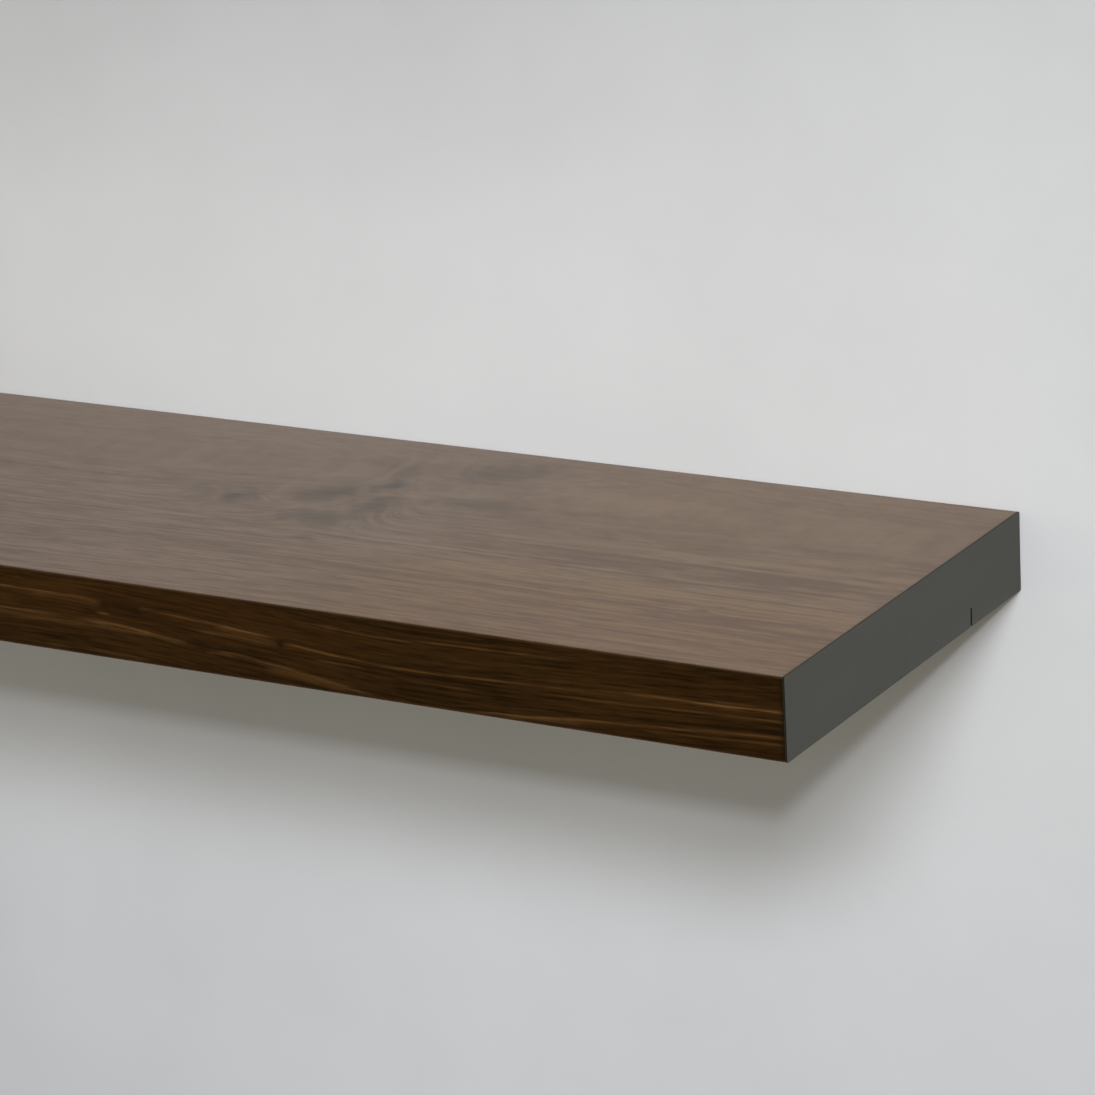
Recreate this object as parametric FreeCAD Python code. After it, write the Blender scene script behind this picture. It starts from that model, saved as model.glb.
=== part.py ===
import FreeCAD
import Part
import math
import os

# A hollow floating wall shelf on a hidden rod bracket, one STEP file for each piece, in millimetres.
# X runs along the shelf, Y points into the wall, whose face is the plane Y = 0, and Z is up. The shelf
# stands out towards -Y, and Z = 0 is halfway up its thickness, on the axes of the support rods.

# The whole shelf
LENGTH = 800.0
DEPTH = 237.0
THICKNESS = 38.0
WALL_GAP = 0.5

# Skins of the hollow board, mitred where they meet at the front
SKIN = 5.0
ARRIS_RADIUS = 0.6

# End caps: a plate, three pegs, and a slit for a thin blade to pull the cap off
CAP_PLATE = 1.0
CAP_EDGE_RADIUS = 0.2
PEG_RADIUS = 4.0
PEG_LENGTH = 12.0
PEG_NOSE = 1.0
PEG_PLACES = (-210.0, -118.0, -30.0)
PEG_CLEARANCE = 0.1
PEG_HOLE_SPARE = 2.0
SLIT_WIDTH = 1.8
SLIT_HEIGHT = 9.0
SLIT_FROM_WALL = 55.0
SLIT_POCKET_WIDTH = 4.0
SLIT_POCKET_DEEP = 2.0

# Softwood frame inside the board
RAIL_WIDTH = 20.0
CHANNEL_DEPTH = 10.0
BLOCK_WIDTH = 60.0

# Paper honeycomb in the hollows
PAPER = 0.5
CELL_SIDE = 16.0
CORE_MARGIN = 1.0
CORE_GAP = 0.1

# Wall bracket: a flat bar with three rods welded square to it
BAR_LENGTH = 740.0
BAR_HEIGHT = 24.0
BAR_THICKNESS = 4.0
BAR_CORNER = 3.0
ROD_RADIUS = 6.0
ROD_TIP = 178.0
ROD_NOSE = 2.0
ROD_SPACING = 270.0
WELD_LEG = 3.0
WALL_SCREW_PLACES = (-340.0, -135.0, 135.0, 340.0)
WALL_SCREW_HOLE_RADIUS = 2.75
WALL_SCREW_HEAD_RADIUS = 5.5

# Bores that slide over the rods
BORE_RADIUS = 6.25
BORE_SPARE = 4.0

# Locking screws under the two outer rods, with pads slim enough to pass the inserts' M6 thread
LOCK_FROM_WALL = 60.0
INSERT_RADIUS = 4.5
INSERT_BORE_RADIUS = 3.075
INSERT_FLANGE_RADIUS = 6.0
INSERT_FLANGE = 1.0
INSERT_LENGTH = 10.0
INSERT_RECESS = 0.4
INSERT_HOLE_CLEARANCE = 0.05
SCREW_RADIUS = 3.0
SCREW_LENGTH = 8.0
SCREW_CHAMFER = 0.5
SOCKET_ACROSS_FLATS = 3.0
SOCKET_DEPTH = 3.5
PAD_RADIUS = 2.4
PAD_THICKNESS = 1.5
PAD_TO_ROD = 0.3
PAD_TO_SCREW = 0.1
PAD_STEM_RADIUS = 1.0
PAD_STEM_LENGTH = 2.0
STEM_HOLE_RADIUS = 1.08
STEM_HOLE_DEPTH = 2.4
PAD_PASSAGE_RADIUS = 3.2

# Places worked out from the sizes above
TOP = THICKNESS / 2
HOLLOW_TOP = TOP - SKIN
BOARD_END = LENGTH / 2 - CAP_PLATE
HOLLOW_END = BOARD_END - RAIL_WIDTH
FRONT = -DEPTH
HOLLOW_FRONT = FRONT + SKIN
FRONT_RAIL_REAR = HOLLOW_FRONT + RAIL_WIDTH
REAR_RAIL_FRONT = -CHANNEL_DEPTH - RAIL_WIDTH
ROD_PLACES = {"left": -ROD_SPACING, "centre": 0.0, "right": ROD_SPACING}
LOCK_PLACES = {"left": -ROD_SPACING, "right": ROD_SPACING}
PAD_TOP = -ROD_RADIUS - PAD_TO_ROD
SCREW_TOP = PAD_TOP - PAD_THICKNESS - PAD_TO_SCREW
INSERT_FOOT = -TOP + INSERT_RECESS


def point(x, y, z):
    return FreeCAD.Vector(x, y, z)


ALONG_X = point(1, 0, 0)
ALONG_Y = point(0, 1, 0)
ALONG_Z = point(0, 0, 1)


def block(x_range, y_range, z_range):
    """A box between the low and high value on each axis."""
    low = point(x_range[0], y_range[0], z_range[0])
    size = [high - start for start, high in (x_range, y_range, z_range)]
    return Part.makeBox(size[0], size[1], size[2], low)


def prism_along_x(edges, x_low, x_high):
    """A closed outline drawn in the plane X = 0, carried from x_low to x_high."""
    outline = Part.Face(Part.Wire(edges))
    outline.translate(point(x_low, 0, 0))
    return outline.extrude(point(x_high - x_low, 0, 0))


def turned(profile, origin, axis):
    """A body of revolution from (radius, height) pairs, with its height along the axis from origin."""
    corners = [point(radius, 0, height) for radius, height in profile]
    outline = Part.Face(Part.makePolygon(corners + corners[:1]))
    body = outline.revolve(point(0, 0, 0), ALONG_Z, 360)
    body.Placement = FreeCAD.Placement(origin, FreeCAD.Rotation(ALONG_Z, axis))
    return body


# The hollow board -----------------------------------------------------------------------------------


def arris(angle, side):
    """A point of the rounded front edge, by its angle in degrees up from straight forward."""
    turn = math.radians(angle)
    y = FRONT + ARRIS_RADIUS - ARRIS_RADIUS * math.cos(turn)
    z = TOP - ARRIS_RADIUS + ARRIS_RADIUS * math.sin(turn)
    return point(0, y, side * z)


def wide_skin(side):
    """The top skin for side 1 and the bottom skin for side -1, mitred at 45 degrees at the front."""
    inner_rear = point(0, -WALL_GAP, side * HOLLOW_TOP)
    outer_rear = point(0, -WALL_GAP, side * TOP)
    mitre_inside = point(0, HOLLOW_FRONT, side * HOLLOW_TOP)
    edges = [
        Part.makeLine(inner_rear, outer_rear),
        Part.makeLine(outer_rear, arris(90, side)),
        Part.Arc(arris(90, side), arris(67.5, side), arris(45, side)).toShape(),
        Part.makeLine(arris(45, side), mitre_inside),
        Part.makeLine(mitre_inside, inner_rear),
    ]
    return prism_along_x(edges, -BOARD_END, BOARD_END)


def front_skin():
    """The front skin, mitred along both long edges."""
    upper_inside = point(0, HOLLOW_FRONT, HOLLOW_TOP)
    lower_inside = point(0, HOLLOW_FRONT, -HOLLOW_TOP)
    edges = [
        Part.makeLine(upper_inside, arris(45, 1)),
        Part.Arc(arris(45, 1), arris(22.5, 1), arris(0, 1)).toShape(),
        Part.makeLine(arris(0, 1), arris(0, -1)),
        Part.Arc(arris(0, -1), arris(22.5, -1), arris(45, -1)).toShape(),
        Part.makeLine(arris(45, -1), lower_inside),
        Part.makeLine(lower_inside, upper_inside),
    ]
    return prism_along_x(edges, -BOARD_END, BOARD_END)


def inner_rail(x_range, y_range):
    """A length of the softwood frame, as high as the hollow."""
    return block(x_range, y_range, (-HOLLOW_TOP, HOLLOW_TOP))


def slit_pocket(end):
    """The room behind a cap's slit where a hooked blade takes hold."""
    x_range = sorted((end * BOARD_END, end * (BOARD_END - SLIT_POCKET_DEEP)))
    half = SLIT_POCKET_WIDTH / 2
    return block(
        x_range,
        (-SLIT_FROM_WALL - half, -SLIT_FROM_WALL + half),
        (-TOP, -TOP + SLIT_HEIGHT),
    )


def end_rail(end):
    """The rail behind a cap, bored for its pegs. end is 1 on the right and -1 on the left."""
    x_range = sorted((end * HOLLOW_END, end * BOARD_END))
    rail = inner_rail(x_range, (HOLLOW_FRONT, -CHANNEL_DEPTH))
    for y in PEG_PLACES:
        mouth = point(end * BOARD_END, y, 0)
        depth = PEG_LENGTH + PEG_HOLE_SPARE
        rail = rail.cut(Part.makeCylinder(PEG_RADIUS + PEG_CLEARANCE, depth, mouth, ALONG_X * -end))
    return rail.cut(slit_pocket(end))


def insert_hole(x):
    """The stepped hole for a threaded insert, up through the bottom skin and into the guide block."""
    foot = point(x, -LOCK_FROM_WALL, -TOP)
    radius = INSERT_RADIUS + INSERT_HOLE_CLEARANCE
    flange_radius = INSERT_FLANGE_RADIUS + INSERT_HOLE_CLEARANCE
    hole = Part.makeCylinder(radius, INSERT_RECESS + INSERT_LENGTH, foot)
    return hole.fuse(Part.makeCylinder(flange_radius, INSERT_RECESS + INSERT_FLANGE, foot))


def guide_block(x):
    """A block from the front rail to the channel, with a blind bore that slides over one rod."""
    half = BLOCK_WIDTH / 2
    body = inner_rail((x - half, x + half), (FRONT_RAIL_REAR, -CHANNEL_DEPTH))
    bore_depth = ROD_TIP + BORE_SPARE - CHANNEL_DEPTH
    body = body.cut(Part.makeCylinder(BORE_RADIUS, bore_depth, point(x, -CHANNEL_DEPTH, 0), -ALONG_Y))
    if x in LOCK_PLACES.values():
        foot = point(x, -LOCK_FROM_WALL, -TOP)
        body = body.cut(insert_hole(x)).cut(Part.makeCylinder(PAD_PASSAGE_RADIUS, TOP, foot))
    return body


def bottom_skin():
    """The bottom skin with the two insert holes and the pockets behind the caps' slits."""
    skin = wide_skin(-1)
    for x in LOCK_PLACES.values():
        skin = skin.cut(insert_hole(x))
    for end in (-1, 1):
        skin = skin.cut(slit_pocket(end))
    return skin


# The paper core -------------------------------------------------------------------------------------


def wave_height(x):
    """How far a honeycomb strip stands off its base line: flats and 60 degree slopes by turns."""
    run = CELL_SIDE / 2
    rise = CELL_SIDE * math.sin(math.radians(60))
    place = x % (2 * CELL_SIDE + 2 * run)
    if place < CELL_SIDE:
        return 0.0
    if place < CELL_SIDE + run:
        return rise * (place - CELL_SIDE) / run
    if place < 2 * CELL_SIDE + run:
        return rise
    return rise * (2 * CELL_SIDE + 2 * run - place) / run


def strip_stations(width):
    """The ends of a strip and the places between them where it bends."""
    stations = [0.0]
    place = 0.0
    for step in range(int(width // CELL_SIDE) + 2):
        place += CELL_SIDE
        stations += [place, place + CELL_SIDE / 2]
        place += CELL_SIDE / 2
    return [x for x in stations if x < width - PAPER] + [width]


def paper_core(x_low, x_high, y_low, y_high):
    """Expanded honeycomb: folded strips of paper set on edge, each the mirror of the one before it."""
    x_low += CORE_MARGIN
    y_low += CORE_MARGIN
    rise = CELL_SIDE * math.sin(math.radians(60))
    pitch = rise + PAPER + CORE_GAP
    width = x_high - CORE_MARGIN - x_low
    stations = strip_stations(width)
    strips = []
    for row in range(int((y_high - CORE_MARGIN - y_low) / pitch)):
        base = y_low + row * pitch
        heights = [wave_height(x) if row % 2 == 0 else rise - wave_height(x) for x in stations]
        near = [point(x_low + x, base + h, 0) for x, h in zip(stations, heights)]
        far = [corner + ALONG_Y * PAPER for corner in reversed(near)]
        outline = Part.Face(Part.makePolygon(near + far + near[:1]))
        outline.translate(ALONG_Z * (CORE_GAP - HOLLOW_TOP))
        strips.append(outline.extrude(ALONG_Z * 2 * (HOLLOW_TOP - CORE_GAP)))
    return Part.makeCompound(strips)


# The end caps ---------------------------------------------------------------------------------------


def peg(end, y):
    """A peg of a cap, with a chamfered nose, standing on the plate's inner face."""
    profile = [
        (0, 0),
        (PEG_RADIUS, 0),
        (PEG_RADIUS, PEG_LENGTH - PEG_NOSE),
        (PEG_RADIUS - PEG_NOSE, PEG_LENGTH),
        (0, PEG_LENGTH),
    ]
    return turned(profile, point(end * BOARD_END, y, 0), ALONG_X * -end)


def end_cap(end):
    """A moulded cap: the plate with its rounded edges and its slit, and three pegs in one piece."""
    rear = -WALL_GAP
    edges = [
        Part.makeLine(point(0, rear, -TOP), point(0, rear, TOP)),
        Part.makeLine(point(0, rear, TOP), arris(90, 1)),
        Part.Arc(arris(90, 1), arris(45, 1), arris(0, 1)).toShape(),
        Part.makeLine(arris(0, 1), arris(0, -1)),
        Part.Arc(arris(0, -1), arris(45, -1), arris(90, -1)).toShape(),
        Part.makeLine(arris(90, -1), point(0, rear, -TOP)),
    ]
    inner, outer = end * BOARD_END, end * LENGTH / 2
    plate = prism_along_x(edges, *sorted((inner, outer)))
    rim = [e for e in plate.Edges if all(abs(v.X - outer) < 1e-6 for v in e.Vertexes)]
    plate = plate.makeFillet(CAP_EDGE_RADIUS, rim)
    for y in PEG_PLACES:
        plate = plate.fuse(peg(end, y))
    half = SLIT_WIDTH / 2
    slit = block(
        sorted((inner, outer)),
        (-SLIT_FROM_WALL - half, -SLIT_FROM_WALL + half),
        (-TOP, -TOP + SLIT_HEIGHT),
    )
    return plate.cut(slit).removeSplitter()


# The wall bracket -----------------------------------------------------------------------------------


def wall_rail():
    """The flat bar, with rounded corners and four countersunk holes for wall screws."""
    half_length, half_height = BAR_LENGTH / 2, BAR_HEIGHT / 2
    bar = block((-half_length, half_length), (-BAR_THICKNESS, 0), (-half_height, half_height))
    corners = [e for e in bar.Edges if abs(abs(e.tangentAt(e.FirstParameter).y) - 1) < 1e-6]
    bar = bar.makeFillet(BAR_CORNER, corners)
    head, hole = WALL_SCREW_HEAD_RADIUS, WALL_SCREW_HOLE_RADIUS
    for x in WALL_SCREW_PLACES:
        front = point(x, -BAR_THICKNESS, 0)
        bar = bar.cut(Part.makeCylinder(hole, BAR_THICKNESS, front, ALONG_Y))
        bar = bar.cut(Part.makeCone(head, hole, head - hole, front, ALONG_Y))
    return bar


def support_rod(x):
    """A round rod from the bar's front face, with a chamfered nose that finds its bore."""
    length = ROD_TIP - BAR_THICKNESS
    profile = [
        (0, 0),
        (ROD_RADIUS, 0),
        (ROD_RADIUS, length - ROD_NOSE),
        (ROD_RADIUS - ROD_NOSE, length),
        (0, length),
    ]
    return turned(profile, point(x, -BAR_THICKNESS, 0), -ALONG_Y)


def rod_weld(x):
    """A fillet weld round the foot of a rod."""
    profile = [(ROD_RADIUS, 0), (ROD_RADIUS + WELD_LEG, 0), (ROD_RADIUS, WELD_LEG)]
    return turned(profile, point(x, -BAR_THICKNESS, 0), -ALONG_Y)


# The locking screws ---------------------------------------------------------------------------------


def lock_insert(x):
    """A flanged brass insert, screwed into the guide block through the bottom skin."""
    profile = [
        (INSERT_BORE_RADIUS, 0),
        (INSERT_FLANGE_RADIUS, 0),
        (INSERT_FLANGE_RADIUS, INSERT_FLANGE),
        (INSERT_RADIUS, INSERT_FLANGE),
        (INSERT_RADIUS, INSERT_LENGTH),
        (INSERT_BORE_RADIUS, INSERT_LENGTH),
    ]
    return turned(profile, point(x, -LOCK_FROM_WALL, INSERT_FOOT), ALONG_Z)


def lock_screw(x):
    """A grub screw with a hexagonal socket below and a blind hole for the pad's stem above."""
    chamfered = SCREW_RADIUS - SCREW_CHAMFER
    profile = [
        (0, 0),
        (chamfered, 0),
        (SCREW_RADIUS, SCREW_CHAMFER),
        (SCREW_RADIUS, SCREW_LENGTH - SCREW_CHAMFER),
        (chamfered, SCREW_LENGTH),
        (STEM_HOLE_RADIUS, SCREW_LENGTH),
        (STEM_HOLE_RADIUS, SCREW_LENGTH - STEM_HOLE_DEPTH),
        (0, SCREW_LENGTH - STEM_HOLE_DEPTH),
    ]
    foot = point(x, -LOCK_FROM_WALL, SCREW_TOP - SCREW_LENGTH)
    screw = turned(profile, foot, ALONG_Z)
    reach = SOCKET_ACROSS_FLATS / math.sqrt(3)
    turns = [math.radians(60 * corner) for corner in range(7)]
    hexagon = [foot + point(reach * math.cos(turn), reach * math.sin(turn), 0) for turn in turns]
    socket = Part.Face(Part.makePolygon(hexagon)).extrude(ALONG_Z * SOCKET_DEPTH)
    return screw.cut(socket)


def lock_pad(x):
    """A brass pad that presses on the rod and swivels on the screw by its stem."""
    profile = [
        (0, 0),
        (PAD_STEM_RADIUS, 0),
        (PAD_STEM_RADIUS, PAD_STEM_LENGTH),
        (PAD_RADIUS, PAD_STEM_LENGTH),
        (PAD_RADIUS, PAD_STEM_LENGTH + PAD_THICKNESS),
        (0, PAD_STEM_LENGTH + PAD_THICKNESS),
    ]
    foot = PAD_TOP - PAD_THICKNESS - PAD_STEM_LENGTH
    return turned(profile, point(x, -LOCK_FROM_WALL, foot), ALONG_Z)


# All the pieces by name -----------------------------------------------------------------------------


def hollows():
    """The stretches of the board between the guide blocks and the end rails, by name."""
    half = BLOCK_WIDTH / 2
    near, far = half, ROD_SPACING - half
    outer = ROD_SPACING + half
    return {
        "outer_left": (-HOLLOW_END, -outer),
        "inner_left": (-far, -near),
        "inner_right": (near, far),
        "outer_right": (outer, HOLLOW_END),
    }


def pieces():
    made = {
        "top_panel": wide_skin(1),
        "bottom_panel": bottom_skin(),
        "front_panel": front_skin(),
        "front_rail": inner_rail((-HOLLOW_END, HOLLOW_END), (HOLLOW_FRONT, FRONT_RAIL_REAR)),
        "wall_rail": wall_rail(),
        "rod_welds": Part.makeCompound([rod_weld(x) for x in ROD_PLACES.values()]),
    }
    for side, end in (("left", -1), ("right", 1)):
        made["end_rail_" + side] = end_rail(end)
        made["end_cap_" + side] = end_cap(end)
    for side, x in ROD_PLACES.items():
        made["guide_block_" + side] = guide_block(x)
        made["support_rod_" + side] = support_rod(x)
    for side, x in LOCK_PLACES.items():
        made["lock_insert_" + side] = lock_insert(x)
        made["lock_screw_" + side] = lock_screw(x)
        made["lock_pad_" + side] = lock_pad(x)
    for side, (x_low, x_high) in hollows().items():
        made["rear_rail_" + side] = inner_rail((x_low, x_high), (REAR_RAIL_FRONT, -CHANNEL_DEPTH))
        made["paper_core_" + side] = paper_core(x_low, x_high, FRONT_RAIL_REAR, REAR_RAIL_FRONT)
    return made


os.makedirs("parts", exist_ok=True)
for name, shape in pieces().items():
    closed = shape.isValid() and all(s.isClosed() for s in shape.Shells)
    print(f"{name:28s} solids {len(shape.Solids):3d}  volume {shape.Volume:12.1f}  closed {closed}")
    shape.exportStep(f"parts/{name}.step")
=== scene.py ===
import math

import bmesh
import bpy
import numpy as np
from mathutils import Matrix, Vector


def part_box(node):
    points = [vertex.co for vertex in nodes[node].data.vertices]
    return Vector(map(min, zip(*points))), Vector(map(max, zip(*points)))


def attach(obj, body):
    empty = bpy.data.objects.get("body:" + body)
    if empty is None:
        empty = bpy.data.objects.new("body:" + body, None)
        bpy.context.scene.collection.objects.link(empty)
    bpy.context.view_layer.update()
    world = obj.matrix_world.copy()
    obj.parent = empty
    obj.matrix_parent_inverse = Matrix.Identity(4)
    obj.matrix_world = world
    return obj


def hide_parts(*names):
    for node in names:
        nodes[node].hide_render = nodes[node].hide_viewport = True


# A thick floating shelf on a hidden rod bracket. The pieces follow one another as they are put
# together: the bracket on the wall, the frame of the board, its skins, the locking screws and the end
# caps. X runs along the shelf, Y points into the wall and Z is up. Sizes named _MM are millimetres.

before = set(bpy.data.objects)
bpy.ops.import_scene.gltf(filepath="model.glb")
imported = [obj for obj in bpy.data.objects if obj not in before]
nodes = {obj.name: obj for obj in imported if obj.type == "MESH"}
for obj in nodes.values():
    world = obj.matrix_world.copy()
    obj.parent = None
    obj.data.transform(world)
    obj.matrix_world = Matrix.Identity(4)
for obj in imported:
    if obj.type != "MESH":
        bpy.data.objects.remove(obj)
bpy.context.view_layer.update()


# Wall rail --------------------------------------------------------------------------------------------
# A flat bar of mild steel that carries the whole shelf. It is sawn to length, drilled and countersunk
# for four wall screws, welded to its rods and then powder coated black.

MM = 0.001
COAT_BLACK = (0.022, 0.022, 0.024, 1)
COAT_RUBBED = (0.050, 0.050, 0.053, 1)


def new_finish(name, constants):
    """A new material with the constants set on its shader: the material, its node tree, its shader."""
    material = bpy.data.materials.new(name)
    material.use_nodes = True
    shader = material.node_tree.nodes["Principled BSDF"]
    for socket, value in constants.items():
        shader.inputs[socket].default_value = value
    return material, material.node_tree, shader


def add(tree, kind, inputs, **settings):
    """Adds one node. Each of its inputs is given a number, a colour, or the output that feeds it."""
    made = tree.nodes.new("ShaderNode" + kind)
    for setting, value in settings.items():
        setattr(made, setting, value)
    for socket, value in inputs.items():
        if isinstance(value, bpy.types.NodeSocket):
            tree.links.new(value, made.inputs[socket])
        else:
            made.inputs[socket].default_value = value
    return made


def place_on(tree, stretch, shift=(0, 0, 0)):
    """The piece's own coordinates in metres, each times its stretch, plus the shift."""
    where = add(tree, "TexCoord", {}).outputs["Object"]
    return add(tree, "Mapping", {"Vector": where, "Scale": stretch, "Location": shift}).outputs[0]


def speckle(tree, per_metre, detail=3.0, sharpness=0.6, shift=(0, 0, 0)):
    """Cloudy noise with that many patches to the metre along X, Y and Z, in values about one half."""
    grain = {"Scale": 1, "Detail": detail, "Roughness": sharpness}
    return add(tree, "TexNoise", {"Vector": place_on(tree, per_metre, shift), **grain}).outputs[0]


def spread(tree, value, from_low, from_high, to_low, to_high):
    """The value carried from one range to another in a straight line, and held at its ends."""
    limits = {1: from_low, 2: from_high, 3: to_low, 4: to_high}
    return add(tree, "MapRange", {0: value, **limits}).outputs[0]


def blend_colours(tree, share, first, second):
    """The first colour at share 0, and the second at share 1."""
    return add(tree, "Mix", {0: share, 6: first, 7: second}, data_type="RGBA").outputs[2]


def emboss(tree, shader, height, depth):
    """Lets the height, from 0 to 1, stand out of the surface by that depth in metres."""
    relief = add(tree, "Bump", {"Height": height, "Distance": depth, "Strength": 1.0})
    tree.links.new(relief.outputs[0], shader.inputs["Normal"])


def tint(tree, shader, colour, roughness):
    """Gives the shader its colour and its roughness, each from the nodes that work it out."""
    tree.links.new(colour, shader.inputs["Base Color"])
    tree.links.new(roughness, shader.inputs["Roughness"])


def powder_coat(name, colour, rubbed):
    """Baked powder: an orange-peel skin in cloudy black, paler and smoother where it was handled."""
    coat, tree, shader = new_finish(name, {"Specular IOR Level": 0.45})
    peel = speckle(tree, (700, 700, 700), 2)
    handled = spread(tree, speckle(tree, (30, 30, 30), 5), 0.48, 0.75, 0, 1)
    black = blend_colours(tree, handled, colour, rubbed)
    tint(tree, shader, black, spread(tree, handled, 0, 1, 0.48, 0.33))
    emboss(tree, shader, peel, 0.12 * MM)
    return coat


def dress(piece, finish):
    """Gives a whole piece one finish."""
    if not piece.material_slots:
        piece.data.materials.append(finish)
    for place in piece.material_slots:
        place.material = finish


dress(nodes["wall_rail"], powder_coat("Black powder coat", COAT_BLACK, COAT_RUBBED))


# Support rods -----------------------------------------------------------------------------------------
# Three bright steel rods, turned to 12 mm with a chamfered nose, that stand square out of the rail. The
# guide blocks have polished them lengthwise over the turning marks.

ROD_BRIGHT = (0.60, 0.595, 0.58, 1)
ROD_DULL = (0.40, 0.395, 0.385, 1)


def reckon(tree, operation, first, second=0.0):
    """The sum, difference or product of two values, or the first's sine or its size without a sign."""
    return add(tree, "Math", {0: first, 1: second}, operation=operation).outputs[0]


def turned_steel(name):
    """Bright steel: fine rings of the lathe round Y, long sliding scratches along Y and dull clouds."""
    steel, tree, shader = new_finish(name, {"Metallic": 1.0})
    rings = speckle(tree, (15, 2600, 15), 2)
    slides = speckle(tree, (1400, 12, 1400), 3)
    clouds = speckle(tree, (60, 25, 60), 4)
    marks = reckon(tree, "MULTIPLY", rings, slides)
    colour = blend_colours(tree, spread(tree, clouds, 0.3, 0.7, 0, 1), ROD_BRIGHT, ROD_DULL)
    tint(tree, shader, colour, spread(tree, marks, 0.12, 0.40, 0.24, 0.46))
    emboss(tree, shader, marks, 0.03 * MM)
    return steel


rod_steel = turned_steel("Turned rod steel")
for side in ("left", "centre", "right"):
    dress(nodes["support_rod_" + side], rod_steel)


# Rod welds --------------------------------------------------------------------------------------------
# A bead of weld metal runs once round the foot of each rod. It was laid in short steps, so it carries
# ripples, and the rail's powder coat lies over it.

WELD_LEG_MM = 3.0
WELD_RIPPLES = 34
BEAD_SWELL_MM = 0.35
RIPPLE_MM = 0.16
BEAD_BLACK = (0.030, 0.029, 0.029, 1)
BEAD_SCALE = (0.085, 0.075, 0.066, 1)
SHARPEST_SMOOTH_DEGREES = 32


def mesh_of_outlines(name, outlines, round_again=False):
    """A closed mesh over outlines[i, j], where j goes round outline i. Quads join each outline to the
    next. The first and last are filled flat, or joined to each other if it goes round again."""
    number, around = outlines.shape[:2]
    index = np.arange(number * around).reshape(number, around)
    ahead = np.roll(index, -1, axis=1)
    near = index if round_again else index[:-1]
    far = np.roll(index, -1, axis=0)[: len(near)]
    near_ahead = ahead[: len(near)]
    far_ahead = np.roll(ahead, -1, axis=0)[: len(near)]
    faces = np.stack([near, near_ahead, far_ahead, far], axis=-1).reshape(-1, 4).tolist()
    if not round_again:
        faces += [index[0][::-1].tolist(), index[-1].tolist()]
    mesh = bpy.data.meshes.new(name)
    mesh.from_pydata(outlines.reshape(-1, 3).tolist(), [], faces)
    shell = bmesh.new()
    shell.from_mesh(mesh)
    bmesh.ops.recalc_face_normals(shell, faces=shell.faces)
    shell.to_mesh(mesh)
    shell.free()
    mesh.polygons.foreach_set("use_smooth", [True] * len(mesh.polygons))
    mesh.set_sharp_from_angle(angle=math.radians(SHARPEST_SMOOTH_DEGREES))
    return mesh


def fit(name, mesh, finish, body, slot, *replaced):
    """Makes the piece, gives it its finish and its body, and puts it in the place of the solids."""
    piece = bpy.data.objects.new(name, mesh)
    bpy.context.scene.collection.objects.link(piece)
    dress(piece, finish)
    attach(piece, body)
    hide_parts(*replaced)
    return piece


def weld_bead(rod_x, rod_radius, foot_y):
    """A ring round the rod: at each angle the bead's face runs from the rail to the rod in a swollen
    line, whose swell rises and falls in slanted ripples with the angle."""
    angle = np.linspace(0, 2 * math.pi, 241)[:-1, None]
    across = np.linspace(0, 1, 11)[None, :]
    swell = BEAD_SWELL_MM * np.sin(math.pi * across)
    ripple = RIPPLE_MM * np.sin(math.pi * across) * np.sin(WELD_RIPPLES * angle - 5 * across)
    wander = 1 + 0.04 * np.sin(3 * angle + rod_x) + 0.03 * np.sin(7 * angle)
    out = (1 - across) * WELD_LEG_MM * wander + (swell + ripple) * math.sqrt(0.5)
    up = across * WELD_LEG_MM * wander + (swell + ripple) * math.sqrt(0.5)
    root = np.zeros_like(angle)
    radius = rod_radius + np.concatenate([out, root], axis=1) * MM
    height = np.concatenate([up, root], axis=1) * MM
    return np.stack([rod_x + radius * np.cos(angle), foot_y - height, radius * np.sin(angle)], axis=-1)


def joined(name, meshes):
    """Several meshes as one."""
    shell = bmesh.new()
    for mesh in meshes:
        shell.from_mesh(mesh)
    together = bpy.data.meshes.new(name)
    shell.to_mesh(together)
    shell.free()
    return together


def rod_place(side):
    """The middle of a rod and its radius, from its solid."""
    low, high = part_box("support_rod_" + side)
    return (low.x + high.x) / 2, (high.x - low.x) / 2


rail_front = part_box("wall_rail")[0].y
beads = [
    mesh_of_outlines("bead", weld_bead(*rod_place(side), rail_front), round_again=True)
    for side in ("left", "centre", "right")
]
bead_coat = powder_coat("Powder coat over weld", BEAD_BLACK, BEAD_SCALE)
bead_mesh = joined("rod_weld_beads", beads)
fit("rod_weld_beads", bead_mesh, bead_coat, "wall_bracket", "weld_steel", "rod_welds")


# Pine frame inside the board --------------------------------------------------------------------------
# Rails and guide blocks of planed pine, glued up between the skins. The guide blocks are bored for the
# rods, the end rails for the caps' pegs, and the rear rails stand back to leave room for the bracket.

PINE_EARLY = (0.66, 0.47, 0.27, 1)
PINE_LATE = (0.42, 0.235, 0.095, 1)
PINE_GREYED = (0.47, 0.36, 0.24, 1)
PINE_RINGS_PER_METRE = 330


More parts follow.
